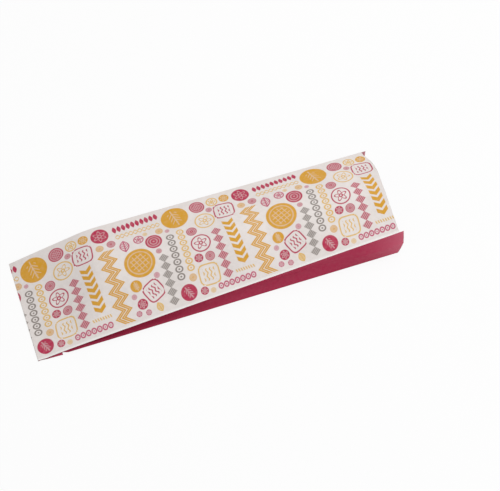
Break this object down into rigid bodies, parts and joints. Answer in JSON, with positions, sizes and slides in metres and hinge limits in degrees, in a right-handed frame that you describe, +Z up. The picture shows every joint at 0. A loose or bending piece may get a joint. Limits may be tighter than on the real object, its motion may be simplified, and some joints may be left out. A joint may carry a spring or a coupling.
{
  "type": "paper sandwich bag",
  "caption": "Long side-gusseted paper bag for a filled baguette, lying open on its back, with a glued folded-over bottom.",
  "frame": {"origin": "middle of the bounding box in plan, at the surface that the bag lies on", "axes": "+X from the folded bottom to the mouth, +Y across the bag to its fuller side, +Z up out of the printed front panel"},
  "size_m": [0.33, 0.1014, 0.0423],
  "materials": {
    "bag_paper": "matte"
  },
  "bodies": {
    "root": {"paper_bag": "bag_paper"}
  },
  "joints": []
}
